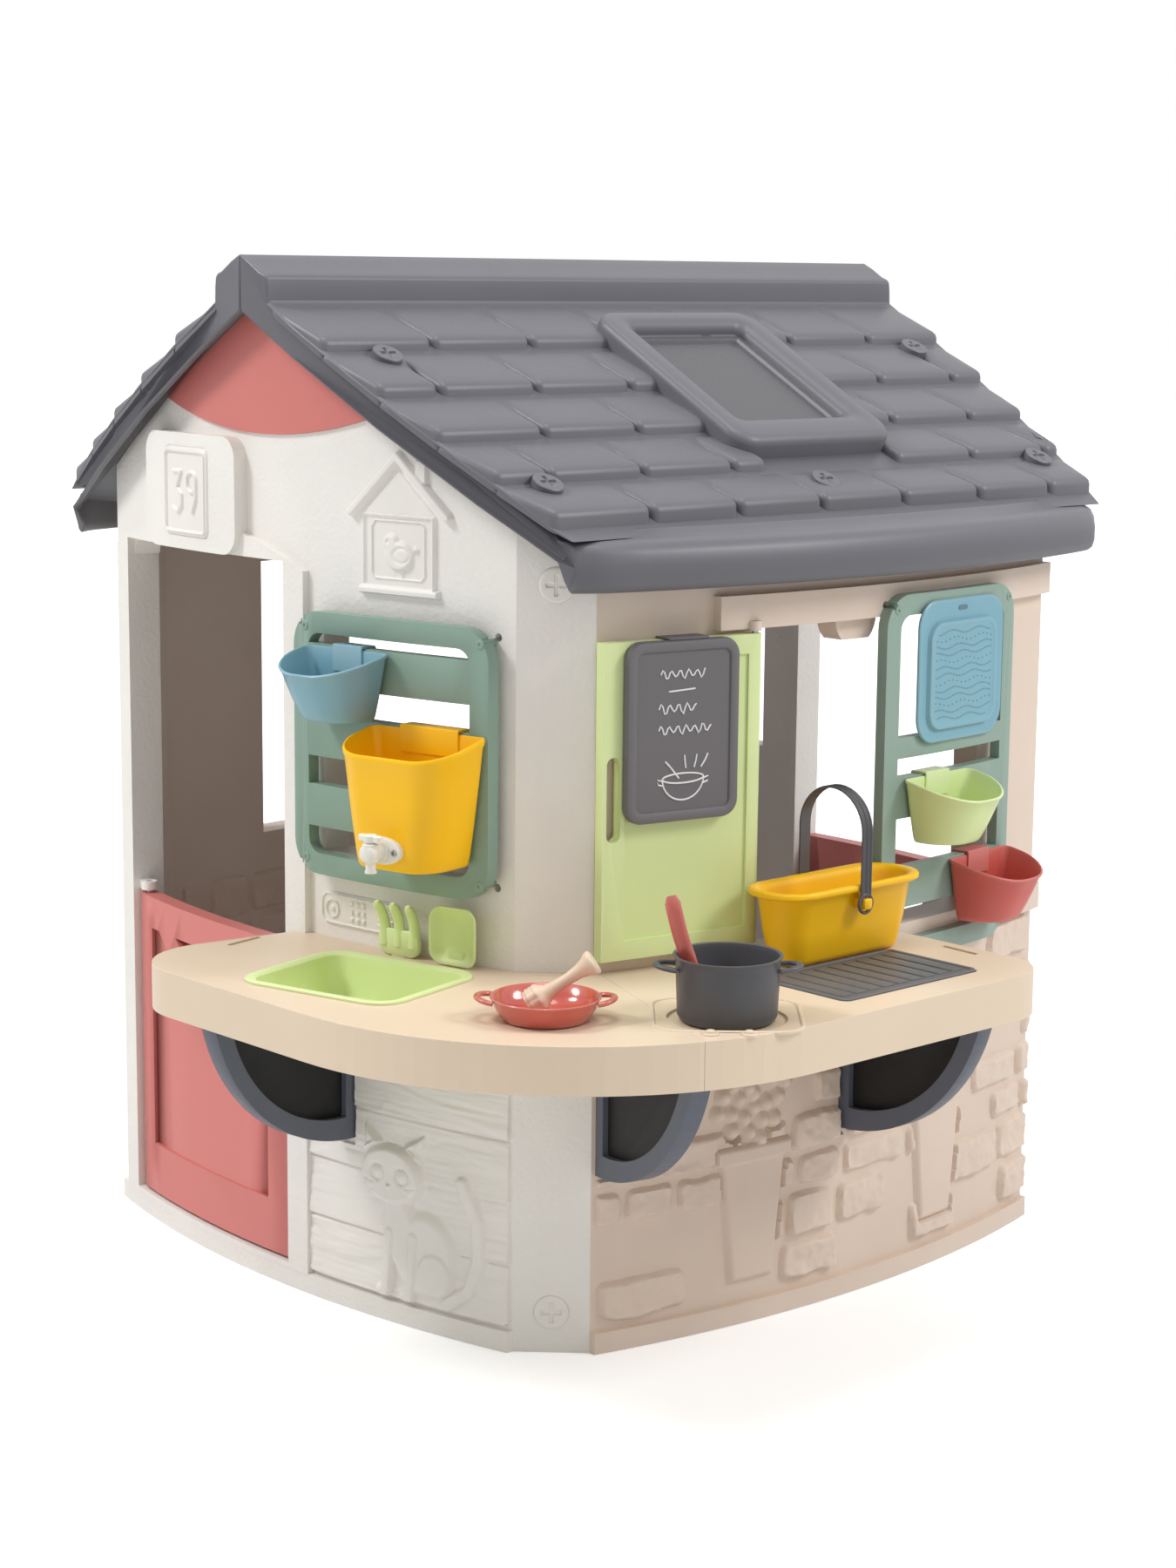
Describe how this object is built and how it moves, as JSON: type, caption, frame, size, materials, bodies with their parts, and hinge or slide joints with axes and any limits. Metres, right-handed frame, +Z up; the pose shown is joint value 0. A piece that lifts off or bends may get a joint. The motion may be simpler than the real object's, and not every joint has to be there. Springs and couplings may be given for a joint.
{
  "type": "plastic playhouse",
  "caption": "Garden playhouse with bowed walls, pitched tiled roof, half doors, shutters and a wrap-round play kitchen with toy utensils",
  "frame": {"origin": "centre of the whole object's box at ground level", "axes": "+Z up, front gable towards -Y, the kitchen's long side towards +X"},
  "size_m": [1.4524, 1.397, 1.35],
  "materials": {
    "shell_white": "orange-peel textured blow-moulded polyethylene, warm white",
    "side_beige": "blow-moulded polyethylene, pinkish beige with stone relief",
    "counter_tan": "smooth satin polyethylene, tan",
    "roof_slate": "moulded tile pattern, slate grey",
    "coral": "satin coral red plastic",
    "coral_gloss": "glossy coral red plastic",
    "light_green": "satin light green plastic",
    "sage": "satin sage green plastic",
    "sky_blue": "satin light blue plastic",
    "yellow": "glossy yellow plastic",
    "charcoal": "dark grey satin plastic",
    "pane": "glossy smoked brown pane",
    "tap_white": "glossy white plastic",
    "steel": "plated steel pins and small screws",
    "wood_beige": "beige speckled plastic"
  },
  "bodies": {
    "house": {"front_wall": "shell_white", "rear_wall": "shell_white", "right_wall": "side_beige", "left_wall": "side_beige", "gable_panel_front": "coral", "gable_panel_rear": "coral", "number_plaque": "shell_white", "roof_right": "roof_slate", "roof_left": "roof_slate", "skylight_right": "pane", "skylight_left": "pane", "corner_screws": "shell_white", "roof_screws": "roof_slate", "door_pins": "steel", "shutter_pins": "steel", "trellis_front": "sage", "trellis_right": "sage", "trellis_plugs": "sage", "counter_front": "counter_tan", "counter_right": "counter_tan", "bracket_left": "charcoal", "bracket_corner": "charcoal", "bracket_right": "charcoal", "drain_plate": "charcoal", "dispenser": "yellow", "tap_body": "tap_white", "tap_nut": "tap_white", "tap_screws": "steel"},
    "door_front": {"door_front": "coral"},
    "door_rear": {"door_rear": "coral"},
    "shutter_right": {"shutter_right": "light_green"},
    "shutter_left_front": {"shutter_left_front": "light_green"},
    "shutter_left_rear": {"shutter_left_rear": "light_green"},
    "basin": {"basin": "light_green"},
    "pot": {"pot": "charcoal"},
    "ladle": {"ladle": "coral_gloss"},
    "pan": {"pan": "coral_gloss"},
    "masher": {"masher": "wood_beige"},
    "basket": {"basket": "yellow"},
    "basket_handle": {"basket_handle": "charcoal"},
    "cup_blue": {"cup_blue": "sky_blue"},
    "cup_green": {"cup_green": "light_green"},
    "cup_coral": {"cup_coral": "coral"},
    "tap_handle": {"tap_handle": "tap_white"},
    "chalkboard": {"chalkboard": "charcoal"},
    "sieve": {"sieve": "sky_blue"},
    "rake": {"rake": "light_green"},
    "shovel": {"shovel": "light_green"}
  },
  "joints": [
    {"name": "door_front_swing", "type": "hinge", "parent": "house", "child": "door_front", "pos_m": [-0.45707, -0.38847, 0.25], "axis": [0, 0, 1], "range_deg": [-78, 90]},
    {"name": "door_rear_swing", "type": "hinge", "parent": "house", "child": "door_rear", "pos_m": [0.22957, 0.61547, 0.25], "axis": [0, 0, 1], "range_deg": [-78, 90]},
    {"name": "shutter_right_swing", "type": "hinge", "parent": "house", "child": "shutter_right", "pos_m": [0.43502, -0.0958, 0.7], "axis": [0, 0, 1], "range_deg": [0, 30]},
    {"name": "shutter_left_front_swing", "type": "hinge", "parent": "house", "child": "shutter_left_front", "pos_m": [-0.66253, -0.0958, 0.7], "axis": [0, 0, -1], "range_deg": [0, 165]},
    {"name": "shutter_left_rear_swing", "type": "hinge", "parent": "house", "child": "shutter_left_rear", "pos_m": [-0.65299, 0.38361, 0.7], "axis": [0, 0, 1], "range_deg": [0, 165]},
    {"name": "tap_turn", "type": "hinge", "parent": "house", "child": "tap_handle", "pos_m": [0.23672, -0.54325, 0.66], "axis": [0, 0, 1], "range_deg": [0, 90]},
    {"name": "basin_lift", "type": "slide", "parent": "house", "child": "basin", "axis": [0, 0, 1], "range_m": [0, 0.12]},
    {"name": "pot_lift", "type": "slide", "parent": "house", "child": "pot", "axis": [0, 0, 1], "range_m": [0, 0.12]},
    {"name": "ladle_lift", "type": "slide", "parent": "pot", "child": "ladle", "axis": [0, 0, 1], "range_m": [0, 0.1]},
    {"name": "pan_lift", "type": "slide", "parent": "house", "child": "pan", "axis": [0, 0, 1], "range_m": [0, 0.12]},
    {"name": "masher_lift", "type": "slide", "parent": "pan", "child": "masher", "axis": [0, 0, 1], "range_m": [0, 0.08]},
    {"name": "basket_lift", "type": "slide", "parent": "house", "child": "basket", "axis": [0, 0, 1], "range_m": [0, 0.08]},
    {"name": "basket_handle_swing", "type": "hinge", "parent": "basket", "child": "basket_handle", "pos_m": [0.49925, -0.0105, 0.5613], "axis": [-1, 0, 0], "range_deg": [-74, 74]},
    {"name": "cup_blue_lift", "type": "slide", "parent": "house", "child": "cup_blue", "axis": [0, 0, 1], "range_m": [0, 0.008]},
    {"name": "cup_green_lift", "type": "slide", "parent": "house", "child": "cup_green", "axis": [0, 0, 1], "range_m": [0, 0.02]},
    {"name": "cup_coral_lift", "type": "slide", "parent": "house", "child": "cup_coral", "axis": [0, 0, 1], "range_m": [0, 0.01]},
    {"name": "chalkboard_lift", "type": "slide", "parent": "shutter_right", "child": "chalkboard", "axis": [0, 0, 1], "range_m": [0, 0.015]},
    {"name": "sieve_lift", "type": "slide", "parent": "house", "child": "sieve", "axis": [0, 0, 1], "range_m": [0, 0.03]},
    {"name": "rake_lift", "type": "slide", "parent": "house", "child": "rake", "axis": [0, 0, 1], "range_m": [0, 0.01]},
    {"name": "shovel_lift", "type": "slide", "parent": "house", "child": "shovel", "axis": [0, 0, 1], "range_m": [0, 0.01]}
  ]
}
